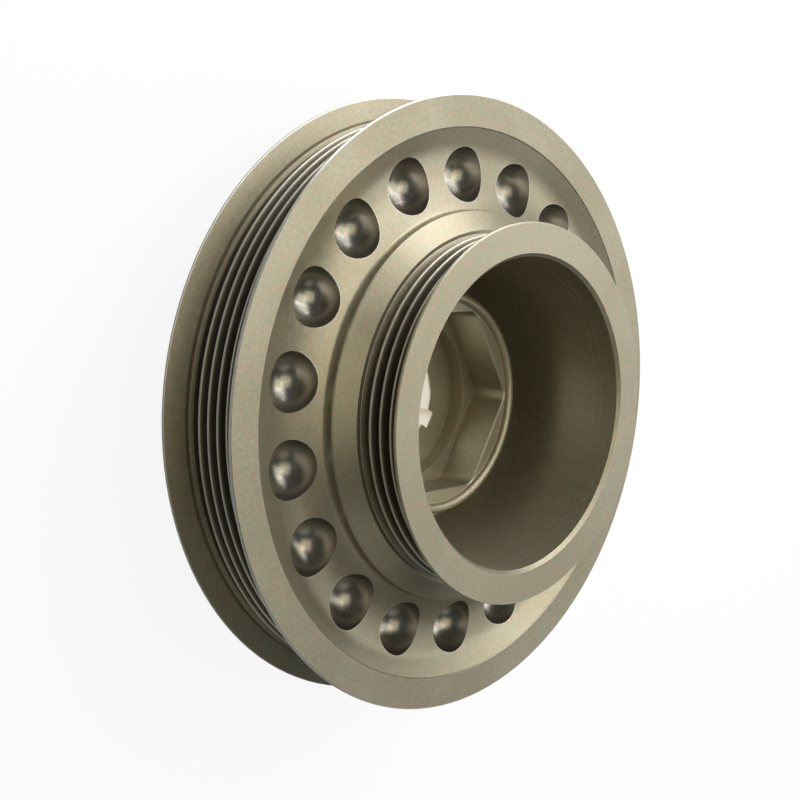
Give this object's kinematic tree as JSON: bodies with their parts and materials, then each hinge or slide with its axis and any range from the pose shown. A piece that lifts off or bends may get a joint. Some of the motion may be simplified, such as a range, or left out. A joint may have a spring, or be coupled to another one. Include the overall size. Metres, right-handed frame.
{
  "type": "crankshaft pulley",
  "caption": "Billet aluminium crankshaft pulley with a main and a smaller V-ribbed belt track, a dished web with ball-end pockets, and a hex holding socket inside a deep hub cup.",
  "frame": {"origin": "centre of the rear snout's end face, on the crankshaft axis", "axes": "+Z along the crankshaft out of the front of the engine, +Y towards the crankshaft key"},
  "size_m": [0.17, 0.17, 0.0719],
  "materials": {
    "anodised_aluminium": "satin"
  },
  "bodies": {
    "root": {"pulley": "anodised_aluminium"}
  },
  "joints": []
}
